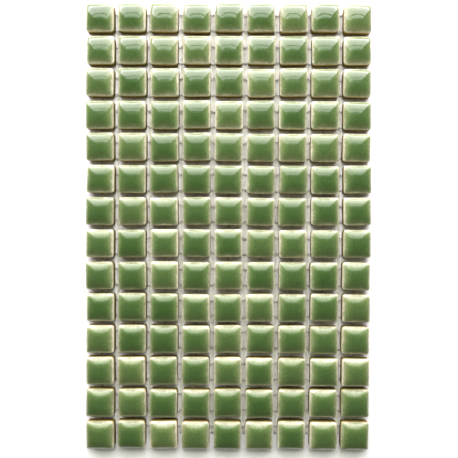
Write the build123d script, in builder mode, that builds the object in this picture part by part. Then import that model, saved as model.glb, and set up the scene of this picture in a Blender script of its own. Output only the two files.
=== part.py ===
"""Sheet of small glazed ceramic mosaic tiles on a laid thread mesh, lying face up on a level floor.

The sheet lies in XY with its length along Y, the glazed faces look along +Z and the threads rest on Z = 0.
The origin is under the middle of the sheet.
"""

import os
import random

from build123d import *

# Sheet layout
columns = 9
rows = 14
tile_size = 10.0
joint_width = 1.55
tile_pitch = tile_size + joint_width

# Hand-laid irregularity of the tiles
lay_tolerance = 0.2
turn_tolerance = 1.2
lay_seed = 7

# Thread mesh: warp threads along the sheet under weft threads across it, at half the tile pitch,
# shifted towards the head of the sheet so that the weft threads lie under tiles and not in the joints
thread_pitch = tile_pitch / 2
thread_width = 0.9
thread_height = 0.25
mesh_shift = 1.9
warp_count = 2 * columns - 1
weft_count = 2 * rows - 1
mesh_length = weft_count * thread_pitch
weft_length = warp_count * thread_pitch
panel_wefts = (rows, weft_count - rows)

# Rise of each part of the tile, from its wall to its crown
wall_rise = 3.0
shoulder_rise = 0.7
cushion_rise = 0.77
crown_rise = 0.88

# Tile heights above the floor
seat_height = 2 * thread_height
wall_top = seat_height + wall_rise
shoulder_top = wall_top + shoulder_rise
cushion_top = shoulder_top + cushion_rise
crown_top = cushion_top + crown_rise

# How far each part above the wall closes in, and the tile's width at those heights
shoulder_inset = 0.35
cushion_inset = 0.85
crown_inset = 2.2
shoulder_width = tile_size - 2 * shoulder_inset
cushion_width = shoulder_width - 2 * cushion_inset
crown_width = cushion_width - 2 * crown_inset

# Corner cuts of the plan at those heights, which the crown has none of
wall_corner = 0.75
shoulder_corner = 0.9
cushion_corner = 1.3

cut_levels = (
    (seat_height, tile_size, wall_corner),
    (wall_top, tile_size, wall_corner),
    (shoulder_top, shoulder_width, shoulder_corner),
    (cushion_top, cushion_width, cushion_corner),
)

os.makedirs("parts", exist_ok=True)

# One pillowed tile: a straight bisque wall under a glazed cushion that closes in to a flat crown
with BuildSketch(Plane.XY.offset(crown_top)) as crown:
    Rectangle(crown_width, crown_width)
tile_corners = [corner.center() for corner in crown.sketch.vertices()]
for level_height, level_width, level_corner in cut_levels:
    with BuildSketch(Plane.XY.offset(level_height)) as level:
        Rectangle(level_width, level_width)
        chamfer(level.vertices(), level_corner)
    tile_corners += [corner.center() for corner in level.sketch.vertices()]
with BuildPart() as tile:
    ConvexPolyhedron(tile_corners)

# Rows of tiles, numbered from the head of the sheet, each tile a little out of place and out of square
lay = random.Random(lay_seed)
for row_number in range(1, rows + 1):
    row_y = (rows + 1 - 2 * row_number) * tile_pitch / 2
    with BuildPart() as tile_row:
        for column_number in range(1, columns + 1):
            column_x = (2 * column_number - columns - 1) * tile_pitch / 2
            tile_x = column_x + lay.uniform(-lay_tolerance, lay_tolerance)
            tile_y = row_y + lay.uniform(-lay_tolerance, lay_tolerance)
            tile_turn = lay.uniform(-turn_tolerance, turn_tolerance)
            with Locations(Location((tile_x, tile_y, 0), (0, 0, tile_turn))):
                add(tile.part)
    tile_row.part.label = f"tile_row_{row_number:02d}"
    export_step(tile_row.part, f"parts/{tile_row.part.label}.step")

# Panels of the thread mesh, which meet end to end under the sheet
panel_head = mesh_length / 2 + mesh_shift
for panel_number, wefts in enumerate(panel_wefts, start=1):
    panel_length = wefts * thread_pitch
    panel_y = panel_head - panel_length / 2
    with BuildPart() as mesh_panel:
        with BuildSketch(Plane.XY):
            with Locations((0, panel_y)):
                with GridLocations(thread_pitch, 0, warp_count, 1):
                    Rectangle(thread_width, panel_length)
        extrude(amount=thread_height)
        with BuildSketch(Plane.XY.offset(thread_height)):
            with Locations((0, panel_y)):
                with GridLocations(0, thread_pitch, 1, wefts):
                    Rectangle(weft_length, thread_width)
        extrude(amount=thread_height)
    mesh_panel.part.label = f"mesh_panel_{panel_number}"
    export_step(mesh_panel.part, f"parts/{mesh_panel.part.label}.step")
    panel_head -= panel_length
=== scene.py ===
"""Looks of a mesh-backed sheet of small pillow-faced mosaic tiles in green glaze, seen from above."""

import math
import random

import bpy
from mathutils import Matrix, Vector, noise


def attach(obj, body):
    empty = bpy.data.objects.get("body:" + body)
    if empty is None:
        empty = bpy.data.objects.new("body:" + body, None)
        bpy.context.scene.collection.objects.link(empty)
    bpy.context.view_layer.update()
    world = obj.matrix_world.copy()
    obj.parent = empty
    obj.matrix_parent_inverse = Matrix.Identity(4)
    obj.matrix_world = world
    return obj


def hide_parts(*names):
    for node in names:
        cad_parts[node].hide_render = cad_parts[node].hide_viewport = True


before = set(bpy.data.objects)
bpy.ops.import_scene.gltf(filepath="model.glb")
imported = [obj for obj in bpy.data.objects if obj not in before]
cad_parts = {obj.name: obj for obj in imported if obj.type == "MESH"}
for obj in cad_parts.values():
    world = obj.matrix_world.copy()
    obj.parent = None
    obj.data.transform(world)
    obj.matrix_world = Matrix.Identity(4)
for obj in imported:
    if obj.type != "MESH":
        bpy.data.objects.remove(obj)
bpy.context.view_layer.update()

MM = 0.001

# Sheet, as in the part's source
COLUMNS = 9
ROWS = 14
TILE_PITCH = 11.55 * MM
MESH_HEIGHT = 0.5 * MM
MESH_SHIFT = 1.9 * MM
CROWN_TOLERANCE = 0.01 * MM

# Tile shape
HALF_TILE = 4.97 * MM
RIM_HEIGHT = 2.95 * MM
PILLOW_HEIGHT = 2.33 * MM
PILLOW_POWER = 2.5
PILLOW_ROOT = 1.5
CORNER_GROWTH = 1.6
SIDE_STEPS = 14
FACE_RINGS = (0.1, 0.2, 0.3, 0.39, 0.47, 0.54, 0.6, 0.66, 0.71, 0.755, 0.795, 0.83, 0.862, 0.89, 0.914,
              0.935, 0.953, 0.968, 0.98, 0.989, 0.996, 1.0)
WALL_SHARES = (0.04, 0.1, 0.2, 0.35, 0.55, 0.8, 1.0)
FOOT_BEVEL = 0.12 * MM

# What differs from tile to tile. The waves of its outline and face have a frequency per mm.
SEED = 11
CORNER_POWERS = (9.0, 14.0)
PILLOW_SPREAD = 0.03 * MM
TOP_TILT = 0.008
OUTLINE_WOBBLE = 0.03 * MM
OUTLINE_FREQUENCY = 0.28
FACE_WOBBLE = 0.018 * MM
FACE_FREQUENCY = 0.55
NOISE_REACH = 50
WARMTH_MIDDLE = 0.45
WARMTH_SPREAD = 0.22

# Mesh threads. Their drift has a frequency per mm, and the lanes make it differ from thread to thread.
THREAD_PITCH = TILE_PITCH / 2
THREAD_SIDES = 5
MESH_TRIM = 0.1 * MM
WARPS = 2 * COLUMNS - 1
WARP_LEVEL = MESH_HEIGHT / 4
WARP_STRANDS = 3
WARP_WIDTH = 0.36 * MM
WARP_DEPTH = 0.18 * MM
WARP_APART = 0.29 * MM
WARP_DRIFT = 0.14 * MM
WARP_FREQUENCY = 0.45
WARP_LANE = 3.1
STRAND_LANE = 7.7
WARP_STEPS = 6
WEFTS = 2 * ROWS - 1
WEFT_LEVEL = 3 * MESH_HEIGHT / 4
WEFT_WIDTH = 0.28 * MM
WEFT_DEPTH = 0.16 * MM
WEFT_TWIST = 0.36 * MM
WEFT_RISE = WEFT_DEPTH / 4
WEFT_TURN = 2.6 * MM
WEFT_SLIP = 3
WEFT_DRIFT = 0.8 * MM
WEFT_FREQUENCY = 0.62
WEFT_LANE = 2.3
WEFT_PLANE = 4.0
WEFT_STEPS = 12
# How far each of the two weft strands takes the dark weft colour, which is painted shade for the shadows of
# the threads in the joints.
WEFT_PAINTED_SHADE = (1.0, 0.3)

# Materials: a noise is (scale, detail, roughness), and a fade goes from one level to another as what it
# follows goes from low to high: (low, high, level at low, level at high).

# Glaze: the colours run from the middle of the face over the rim to the foot of the wall. The wall's
# darkening towards its foot is painted shade for the deep joints between tiles.
CLOUD_NOISE = (240.0, 3.0, 0.5)
MOTTLE_NOISE = (850.0, 3.0, 0.6)
GRAIN_NOISE = (1900.0, 2.0, 0.6)
CLOUD_SHARE = 0.18
MOTTLE_SHARE = 0.15
SHADE_SHARE = 0.07
GLAZE_REACH = 2.5
GLAZE_AND_SHADED_WALL_COLORS = (
    (0.000, (0.043, 0.083, 0.0225)),
    (0.140, (0.045, 0.085, 0.0235)),
    (0.235, (0.063, 0.107, 0.0310)),
    (0.295, (0.098, 0.146, 0.0480)),
    (0.352, (0.186, 0.220, 0.1090)),
    (0.386, (0.418, 0.411, 0.2800)),
    (0.400, (0.572, 0.566, 0.4250)),
    (0.420, (0.592, 0.574, 0.4050)),
    (0.465, (0.505, 0.465, 0.2450)),
    # From the top of the wall down, the tan darkens towards the foot: painted shade standing in for the shade
    # deep in the joints.
    (0.540, (0.415, 0.345, 0.1360)),
    (0.760, (0.300, 0.230, 0.0660)),
    (1.000, (0.140, 0.106, 0.0250)),
)
TINT_COLORS = (
    (0.0, (0.74, 0.83, 0.72)),
    (0.5, (1.00, 1.00, 1.00)),
    (1.0, (1.52, 1.28, 1.42)),
)
TINT_FADE = (0.65, 0.95, 1.0, 0.3)
GRAIN_COLORS = (
    (0.30, (0.82, 0.84, 0.82)),
    (0.70, (1.18, 1.16, 1.18)),
)
WALL_FADE = (1.12, 1.35, 0.0, 1.0)
WALL_ROUGHNESS = 0.7
GLOSS_FADE = (0.3, 0.7, 0.018, 0.05)
SHEEN_FADE = (1.12, 1.35, 0.5, 0.12)
GLAZE_BUMP = 0.12
GLAZE_BUMP_HEIGHT = 0.05 * MM
GLAZE_IOR = 1.55

# Thread
FIBRE_NOISE = (5000.0, 2.0, 0.5)
SOIL_NOISE = (300.0, 3.0, 0.5)
KNOT_NOISE = (1300.0, 2.0, 0.5)
CLEAN_COLOR = (0.77, 0.77, 0.66)
SOIL_COLOR = (0.71, 0.71, 0.60)
SOIL_FADE = (0.35, 0.7, 0.0, 1.0)
KNOT_COLOR = (0.45, 0.435, 0.37)
KNOT_FADE = (0.5, 0.72, 0.0, 0.6)
FIBRE_COLOR = (0.50, 0.48, 0.42)
FIBRE_FADE = (0.4, 0.75, 0.0, 0.25)
# Dark weft colour: painted shade. The wefts are pale thread, darkened to stand in for the shadows they cast
# in the joints.
WEFT_SHADE_COLOR = (0.22, 0.21, 0.18)
THREAD_BUMP = 0.4
THREAD_BUMP_HEIGHT = 0.06 * MM
THREAD_ROUGHNESS = 0.75

# Floor
FLOOR_HALF = 3.0
FLOOR_NOISE = (3.0, 2.0, 0.5)
FLOOR_COLORS = ((0.84, 0.84, 0.84), (0.86, 0.86, 0.855))
FLOOR_ROUGHNESS = 0.9
FLOOR_SPECULAR = 0.1

# Window beyond the head of the sheet, brighter low down, with a bar between its fourth and fifth strips.
# Each strip is (foot, head, radiance, colour).
WINDOW_DISTANCE = 0.25
WINDOW_WIDTH = 0.66
WINDOW_SIDE = -0.045
WINDOW_STRIPS = (
    (0.030, 0.075, 11.5, (1.00, 0.90, 1.12)),
    (0.075, 0.150, 7.6, (1.00, 0.90, 1.06)),
    (0.150, 0.240, 6.9, (1.00, 0.93, 0.97)),
    (0.240, 0.330, 6.5, (1.00, 0.97, 0.96)),
    (0.372, 0.440, 5.6, (0.98, 1.00, 0.93)),
    (0.440, 0.515, 5.0, (0.96, 1.00, 0.90)),
    (0.515, 0.595, 4.1, (0.94, 1.00, 0.87)),
    (0.610, 0.900, 1.1, (0.92, 1.00, 0.84)),
)

# Soft lamps, which the glaze doesn't mirror: near above the head of the sheet, far beyond its head, and
# beyond its foot. Each is (place, aim, size, radiance, colour).
LAMPS = (
    ((0.0, 0.11, 0.16), (0.0, 0.02, 0.0), (0.12, 0.12), 3.4, (0.98, 1.00, 0.93)),
    ((0.0, 0.87, 0.50), (0.0, 0.0, 0.0), (0.25, 0.75), 5.0, (1.00, 0.97, 1.12)),
    ((0.0, -0.77, 0.64), (0.0, 0.0, 0.0), (0.25, 0.75), 0.7, (0.98, 1.00, 0.93)),
)

# Room light, dim overhead where the camera is held, and dimmer at the sides and behind than by the window.
# Each fade follows a part of the direction that the light comes from.
ROOM_COLOR = (1.0, 0.99, 0.84)
ROOM_STRENGTH = 0.75
ROOM_OVERHEAD = (0.75, 0.95, 1.0, 0.16)
ROOM_BEHIND = (-0.6, 0.6, 0.28, 1.0)
ROOM_SIDES = (0.1, 0.6, 1.0, 0.35)

# Camera above the sheet, shifted sideways so that the middle of the picture stays by the middle of the sheet
SENSOR_WIDTH = 36.0
LENS = 37.27
CLIP_START = 0.01
CLIP_END = 20.0
CAMERA_LEAN = math.radians(0.73)
CAMERA_TURN = math.radians(0.25)
CAMERA_DISTANCE = 170.0 * MM
CAMERA_AIM = Vector((4.0, -0.48, 4.0)) * MM
PICTURE_MIDDLE = 0.25 * MM


def new_object(name, vertices, faces, smooth=True):
    mesh = bpy.data.meshes.new(name)
    mesh.from_pydata([tuple(v) for v in vertices], [], faces)
    mesh.update()
    if smooth:
        mesh.polygons.foreach_set("use_smooth", [True] * len(mesh.polygons))
    piece = bpy.data.objects.new(name, mesh)
    bpy.context.scene.collection.objects.link(piece)
    return piece


def add_values(piece, name, values):
    """One value for each point of a piece, which its material reads by name."""
    piece.data.attributes.new(name, "FLOAT", "POINT").data.foreach_set("value", values)


# Tiles


def tile_places(node):
    """Centre and turn of each tile of a CAD row, read from the corners of its crown."""
    places = {}
    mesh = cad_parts[node].data
    top = max(v.co.z for v in mesh.vertices)
    for v in mesh.vertices:
        if v.co.z > top - CROWN_TOLERANCE:
            column = round(v.co.x / TILE_PITCH + (COLUMNS - 1) / 2)
            places.setdefault(column, []).append(v.co.xy)
    result = []
    for column in sorted(places):
        corners = places[column]
        centre = sum(corners, Vector((0, 0))) / len(corners)
        turns = [math.degrees(math.atan2(c.y - centre.y, c.x - centre.x)) % 90 - 45 for c in corners]
        result.append((centre, math.radians(sum(turns) / len(turns))))
    return result


def square_directions():
    """Directions round a square, closer together at its corners."""
    side = [math.sin(math.pi / 2 * (2 * (k + 0.5) / SIDE_STEPS - 1)) for k in range(SIDE_STEPS)]
    directions = []
    for out_x, out_y in ((1.0, 0.0), (0.0, 1.0), (-1.0, 0.0), (0.0, -1.0)):
        for t in side:
            directions.append((out_x - out_y * t, out_y + out_x * t))
    return directions


DIRECTIONS = square_directions()
AROUND = len(DIRECTIONS)


def ring(size, power):
    """Points of a rounded square between a circle (power 2) and a sharp square (high power)."""
    points = []
    for x, y in DIRECTIONS:
        reach = size / (abs(x) ** power + abs(y) ** power) ** (1 / power)
        points.append((x * reach, y * reach))
    return points


def pillow_share(x, y):
    """Height share of the pillowed face, flat in the middle and rounding down to every side."""
    u = min(1.0, abs(x / HALF_TILE))
    v = min(1.0, abs(y / HALF_TILE))
    return ((1 - u ** PILLOW_POWER) * (1 - v ** PILLOW_POWER)) ** (1 / PILLOW_ROOT)


def tile_points(rng):
    """Points of one tile from its crown to its foot, ring by ring: (x, y, height, edge value).

    The edge value is the share of the way to the rim on the face, and on the wall 1 and the mm below the rim.
    """
    corner_power = rng.uniform(*CORNER_POWERS)
    pillow = PILLOW_HEIGHT + rng.uniform(-PILLOW_SPREAD, PILLOW_SPREAD)
    points = [(0.0, 0.0, RIM_HEIGHT + pillow, 0.0)]
    for share in FACE_RINGS:
        power = 2 + (corner_power - 2) * share ** CORNER_GROWTH
        for x, y in ring(HALF_TILE * share, power):
            points.append((x, y, RIM_HEIGHT + pillow * pillow_share(x, y), share))
    for down in WALL_SHARES:
        for x, y in ring(HALF_TILE, corner_power):
            rim = RIM_HEIGHT + pillow * pillow_share(x, y)
            points.append((x, y, rim * (1 - down) + FOOT_BEVEL * down, 1 + down * RIM_HEIGHT / MM))
    for x, y in ring(HALF_TILE - FOOT_BEVEL, corner_power):
        points.append((x, y, 0.0, 1 + RIM_HEIGHT / MM))
    points.append((0.0, 0.0, 0.0, 1 + RIM_HEIGHT / MM))
    return points


def tile_faces(first, count):
    """Faces over the rings of one tile, whose points start at first."""
    faces = []
    rings = (count - 2) // AROUND
    last = first + count - 1
    foot = last - AROUND
    for k in range(AROUND):
        n = (k + 1) % AROUND
        faces.append((first, first + 1 + k, first + 1 + n))
        for level in range(rings - 1):
            a = first + 1 + level * AROUND
            b = a + AROUND
            faces.append((a + k, b + k, b + n, a + n))
        faces.append((last, foot + n, foot + k))
    return faces


def make_row(node, rng):
    """One row of glazed tiles in the places of its CAD node, each a little different."""
    vertices, faces, edge, shade, warmth = [], [], [], [], []
    for centre, turn in tile_places(node):
        points = tile_points(rng)
        faces += tile_faces(len(vertices), len(points))
        tilt_x = rng.uniform(-TOP_TILT, TOP_TILT)
        tilt_y = rng.uniform(-TOP_TILT, TOP_TILT)
        place = Matrix.Translation((centre.x, centre.y, MESH_HEIGHT)) @ Matrix.Rotation(turn, 4, "Z")
        offset = Vector([rng.uniform(0, NOISE_REACH) for axis in range(3)])
        shade += [rng.random()] * len(points)
        warmth += [min(1.0, max(0.0, rng.gauss(WARMTH_MIDDLE, WARMTH_SPREAD)))] * len(points)
        for x, y, z, value in points:
            local = Vector((x, y, z)) / MM
            loose = min(1.0, z / RIM_HEIGHT)
            wave = noise.noise_vector(local * OUTLINE_FREQUENCY + offset)
            ripple = noise.noise(local * FACE_FREQUENCY - offset)
            x += wave.x * OUTLINE_WOBBLE * loose
            y += wave.y * OUTLINE_WOBBLE * loose
            z += (tilt_x * x + tilt_y * y + ripple * FACE_WOBBLE) * loose
            vertices.append(place @ Vector((x, y, z)))
            edge.append(value)
    piece = new_object(node + "_glazed", vertices, faces)
    add_values(piece, "edge", edge)
    add_values(piece, "shade", shade)
    add_values(piece, "warmth", warmth)
    return piece


# Mesh


def add_tube(vertices, faces, path, width, depth, across):
    """A flat oval thread along a path, closed at both ends. across is the direction of its width."""
    first = len(vertices)
    for point in path:
        for k in range(THREAD_SIDES):
            angle = 2 * math.pi * k / THREAD_SIDES
            vertices.append(point + across * (math.cos(angle) * width / 2)
                            + Vector((0, 0, math.sin(angle) * depth / 2)))
    for step in range(len(path) - 1):
        a = first + step * THREAD_SIDES
        b = a + THREAD_SIDES
        for k in range(THREAD_SIDES):
            n = (k + 1) % THREAD_SIDES
            faces.append((a + k, a + n, b + n, b + k))
    faces.append(tuple(first + k for k in reversed(range(THREAD_SIDES))))
    end = first + (len(path) - 1) * THREAD_SIDES
    faces.append(tuple(end + k for k in range(THREAD_SIDES)))


def warp_path(number, strand):
    """Middle line of one strand of a warp, which drifts a little from side to side."""
    half_length = WEFTS * THREAD_PITCH / 2 - MESH_TRIM
    x = (number - (WARPS - 1) / 2) * THREAD_PITCH + (strand - (WARP_STRANDS - 1) / 2) * WARP_APART
    steps = WEFTS * WARP_STEPS
    path = []
    for step in range(steps + 1):
        y = MESH_SHIFT - half_length + 2 * half_length * step / steps
        drift = noise.noise(Vector((y / MM * WARP_FREQUENCY, number * WARP_LANE, strand * STRAND_LANE)))
        path.append(Vector((x + drift * WARP_DRIFT, y, WARP_LEVEL)))
    return path


def weft_path(number, side):
    """Middle line of one of the two strands of a weft, which twist round each other and drift together."""
    half_width = WARPS * THREAD_PITCH / 2 - MESH_TRIM
    middle = MESH_SHIFT + (number - (WEFTS - 1) / 2) * THREAD_PITCH
    steps = WARPS * WEFT_STEPS
    path = []
    for step in range(steps + 1):
        x = -half_width + 2 * half_width * step / steps
        drift = noise.noise(Vector((x / MM * WEFT_FREQUENCY, number * WEFT_LANE, WEFT_PLANE)))
        phase = 2 * math.pi * x / WEFT_TURN + WEFT_SLIP * drift + number
        y = middle + drift * WEFT_DRIFT + side * WEFT_TWIST * math.cos(phase)
        path.append(Vector((x, y, WEFT_LEVEL + side * WEFT_RISE * math.sin(phase))))
    return path


def make_threads():
    """Flat warps of strands side by side along the sheet, under wefts of two strands twisted together."""
    vertices, faces = [], []
    for number in range(WARPS):
        for strand in range(WARP_STRANDS):
            path = warp_path(number, strand)
            add_tube(vertices, faces, path, WARP_WIDTH, WARP_DEPTH, Vector((1, 0, 0)))
    weft = [0.0] * len(vertices)
    for number in range(WEFTS):
        # Each weft strand gets its share of painted shade.
        for side, darkness in zip((-1, 1), WEFT_PAINTED_SHADE):
            path = weft_path(number, side)
            add_tube(vertices, faces, path, WEFT_WIDTH, WEFT_DEPTH, Vector((0, 1, 0)))
            weft += [darkness] * (len(vertices) - len(weft))
    piece = new_object("mesh_threads", vertices, faces)
    add_values(piece, "weft", weft)
    return piece


# Materials


class Nodes:
    """Short calls for building the node tree of a material or a world."""

    def __init__(self, owner):
        self.owner = owner
        owner.use_nodes = True
        self.tree = owner.node_tree
        self.tree.nodes.clear()

    def add(self, kind, **values):
        node = self.tree.nodes.new(kind)
        for key, value in values.items():
            setattr(node, key, value)
        return node

    def link(self, output, target):
        self.tree.links.new(output, target)

    def feed(self, socket, value):
        """Give a socket a number, a colour or what another node puts out."""
        if isinstance(value, (int, float)):
            socket.default_value = value
        elif isinstance(value, tuple):
            socket.default_value = (*value, 1.0)
        else:
            self.link(value, socket)

    def place(self):
        return self.add("ShaderNodeTexCoord").outputs["Object"]

    def attribute(self, name):
        return self.add("ShaderNodeAttribute", attribute_name=name).outputs["Fac"]

    def math(self, operation, a, b):
        node = self.add("ShaderNodeMath", operation=operation)
        self.feed(node.inputs[0], a)
        self.feed(node.inputs[1], b)
        return node.outputs["Value"]

    def noise(self, vector, scale, detail, roughness):
        node = self.add("ShaderNodeTexNoise")
        self.feed(node.inputs["Scale"], scale)
        self.feed(node.inputs["Detail"], detail)
        self.feed(node.inputs["Roughness"], roughness)
        self.link(vector, node.inputs["Vector"])
        return node.outputs["Fac"]

    def either_way(self, value, share):
        """A value between 0 and 1, spread evenly to both sides of 0."""
        return self.math("MULTIPLY", self.math("SUBTRACT", value, 0.5), share)

    def ramp(self, value, stops):
        node = self.add("ShaderNodeValToRGB")
        elements = node.color_ramp.elements
        while len(elements) < len(stops):
            elements.new(0.5)
        for element, (position, color) in zip(elements, stops):
            element.position = position
            element.color = (*color, 1.0)
        self.link(value, node.inputs["Fac"])
        return node.outputs["Color"]

    def mix(self, factor, a, b, blend="MIX"):
        node = self.add("ShaderNodeMix", data_type="RGBA", blend_type=blend)
        self.feed(node.inputs["Factor"], factor)
        self.feed(node.inputs["A"], a)
        self.feed(node.inputs["B"], b)
        return node.outputs["Result"]

    def fade(self, value, low, high, at_low, at_high, kind="SMOOTHSTEP"):
        node = self.add("ShaderNodeMapRange", interpolation_type=kind)
        self.feed(node.inputs["From Min"], low)
        self.feed(node.inputs["From Max"], high)
        self.feed(node.inputs["To Min"], at_low)
        self.feed(node.inputs["To Max"], at_high)
        self.link(value, node.inputs["Value"])
        return node.outputs["Result"]

    def bump(self, height, strength, distance):
        node = self.add("ShaderNodeBump")
        self.feed(node.inputs["Strength"], strength)
        self.feed(node.inputs["Distance"], distance)
        self.link(height, node.inputs["Height"])
        return node.outputs["Normal"]

    def surface(self, inputs):
        """Finish a material with a shader whose inputs are given by name."""
        shader = self.add("ShaderNodeBsdfPrincipled")
        for name, value in inputs.items():
            self.feed(shader.inputs[name], value)
        self.link(shader.outputs["BSDF"], self.add("ShaderNodeOutputMaterial").inputs["Surface"])


def glaze_material():
    """Green glaze, thick in the middle of the face, pale where it thins at the rim, over a bare tan wall that
    darkens towards its foot with painted shade.
    """
    m = Nodes(bpy.data.materials.new("green_glaze"))
    place = m.place()
    cloud = m.noise(place, *CLOUD_NOISE)
    mottle = m.noise(place, *MOTTLE_NOISE)
    grain = m.noise(place, *GRAIN_NOISE)
    wander = m.either_way(cloud, CLOUD_SHARE)
    patch = m.either_way(mottle, MOTTLE_SHARE)
    spread = m.either_way(m.attribute("shade"), SHADE_SHARE)
    thin = m.math("ADD", m.math("ADD", m.attribute("edge"), wander), m.math("ADD", patch, spread))
    color = m.ramp(m.fade(thin, 0.0, GLAZE_REACH, 0.0, 1.0, "LINEAR"), GLAZE_AND_SHADED_WALL_COLORS)
    tint = m.ramp(m.attribute("warmth"), TINT_COLORS)
    color = m.mix(m.fade(thin, *TINT_FADE), color, tint, "MULTIPLY")
    color = m.mix(1.0, color, m.ramp(grain, GRAIN_COLORS), "MULTIPLY")
    wall = m.math("MULTIPLY", m.fade(thin, *WALL_FADE), WALL_ROUGHNESS)
    m.surface({
        "Base Color": color,
        "Roughness": m.math("ADD", m.fade(cloud, *GLOSS_FADE), wall),
        "IOR": GLAZE_IOR,
        "Specular IOR Level": m.fade(thin, *SHEEN_FADE),
        "Normal": m.bump(mottle, GLAZE_BUMP, GLAZE_BUMP_HEIGHT),
    })
    return m.owner


def thread_material():
    """Pale thread, soiled and knotted in places, whose wefts the weft value darkens with painted shade for
    the shadows the threads cast in the joints.
    """
    m = Nodes(bpy.data.materials.new("mesh_thread"))
    place = m.place()
    fibre = m.noise(place, *FIBRE_NOISE)
    soil = m.noise(place, *SOIL_NOISE)
    knots = m.noise(place, *KNOT_NOISE)
    color = m.mix(m.fade(soil, *SOIL_FADE), CLEAN_COLOR, SOIL_COLOR)
    color = m.mix(m.fade(knots, *KNOT_FADE), color, KNOT_COLOR)
    color = m.mix(m.fade(fibre, *FIBRE_FADE), color, FIBRE_COLOR)
    # Painted shade on the wefts, for the shadows the threads cast in the joints.
    color = m.mix(m.attribute("weft"), color, WEFT_SHADE_COLOR)
    m.surface({
        "Base Color": color,
        "Roughness": THREAD_ROUGHNESS,
        "Normal": m.bump(fibre, THREAD_BUMP, THREAD_BUMP_HEIGHT),
    })
    return m.owner


def floor_material():
    m = Nodes(bpy.data.materials.new("pale_floor"))
    m.surface({
        "Base Color": m.mix(m.noise(m.place(), *FLOOR_NOISE), *FLOOR_COLORS),
        "Roughness": FLOOR_ROUGHNESS,
        "Specular IOR Level": FLOOR_SPECULAR,
    })
    return m.owner


# Stage


def make_floor():
    corners = [(x * FLOOR_HALF, y * FLOOR_HALF, 0) for x, y in ((-1, -1), (1, -1), (1, 1), (-1, 1))]
    floor = new_object("floor", corners, [(0, 1, 2, 3)], smooth=False)
    floor.data.materials.append(floor_material())


def make_room():
    """World light that fades overhead, behind and at the sides."""
    world = bpy.data.worlds.new("room")
    bpy.context.scene.world = world
    m = Nodes(world)
    direction = m.add("ShaderNodeSeparateXYZ")
    m.link(m.add("ShaderNodeTexCoord").outputs["Generated"], direction.inputs["Vector"])
    across = direction.outputs["X"]
    overhead = m.fade(direction.outputs["Z"], *ROOM_OVERHEAD)
    behind = m.fade(direction.outputs["Y"], *ROOM_BEHIND)
    sides = m.fade(m.math("MULTIPLY", across, across), *ROOM_SIDES)
    strength = m.math("MULTIPLY", m.math("MULTIPLY", overhead, behind), sides)
    background = m.add("ShaderNodeBackground")
    m.feed(background.inputs["Color"], ROOM_COLOR)
    m.feed(background.inputs["Strength"], m.math("MULTIPLY", strength, ROOM_STRENGTH))
    m.link(background.outputs["Background"], m.add("ShaderNodeOutputWorld").inputs["Surface"])


def area_light(name, place, size, facing, radiance, color):
    light = bpy.data.lights.new(name, "AREA")
    light.shape = "RECTANGLE"
    light.size, light.size_y = size
    light.energy = radiance * math.pi * size[0] * size[1]
    light.color = color
    holder = bpy.data.objects.new(name, light)
    holder.location = place
    holder.rotation_mode = "QUATERNION"
    holder.rotation_quaternion = Vector(facing).to_track_quat("-Z", "Y")
    bpy.context.scene.collection.objects.link(holder)
    return holder


def make_lights():
    for number, (low, high, radiance, color) in enumerate(WINDOW_STRIPS, start=1):
        area_light(f"window_{number}", (WINDOW_SIDE, WINDOW_DISTANCE, (low + high) / 2),
                   (WINDOW_WIDTH, high - low), (0, -1, 0), radiance, color)
    for number, (place, aim, size, radiance, color) in enumerate(LAMPS, start=1):
        lamp = area_light(f"lamp_{number}", place, size, Vector(aim) - Vector(place), radiance, color)
        lamp.visible_glossy = False


def make_camera():
    data = bpy.data.cameras.new("camera")
    data.sensor_width = SENSOR_WIDTH
    data.lens = LENS
    data.clip_start = CLIP_START
    data.clip_end = CLIP_END
    data.shift_x = (PICTURE_MIDDLE - CAMERA_AIM.x) / CAMERA_DISTANCE * data.lens / data.sensor_width
    camera = bpy.data.objects.new("camera", data)
    back = Vector((0.0, math.sin(CAMERA_LEAN), math.cos(CAMERA_LEAN)))
    camera.location = CAMERA_AIM + back * CAMERA_DISTANCE
    camera.rotation_euler = (-CAMERA_LEAN, 0.0, CAMERA_TURN)
    bpy.context.scene.collection.objects.link(camera)
    bpy.context.scene.camera = camera


make_camera()
make_floor()
make_room()
make_lights()
bpy.context.scene.view_settings.view_transform = "Standard"

rng = random.Random(SEED)
glaze = glaze_material()
for number in range(1, ROWS + 1):
    node = f"tile_row_{number:02d}"
    row = make_row(node, rng)
    row.data.materials.append(glaze)
    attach(row, "root")
    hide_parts(node)

threads = make_threads()
threads.data.materials.append(thread_material())
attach(threads, "root")
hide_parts("mesh_panel_1", "mesh_panel_2")
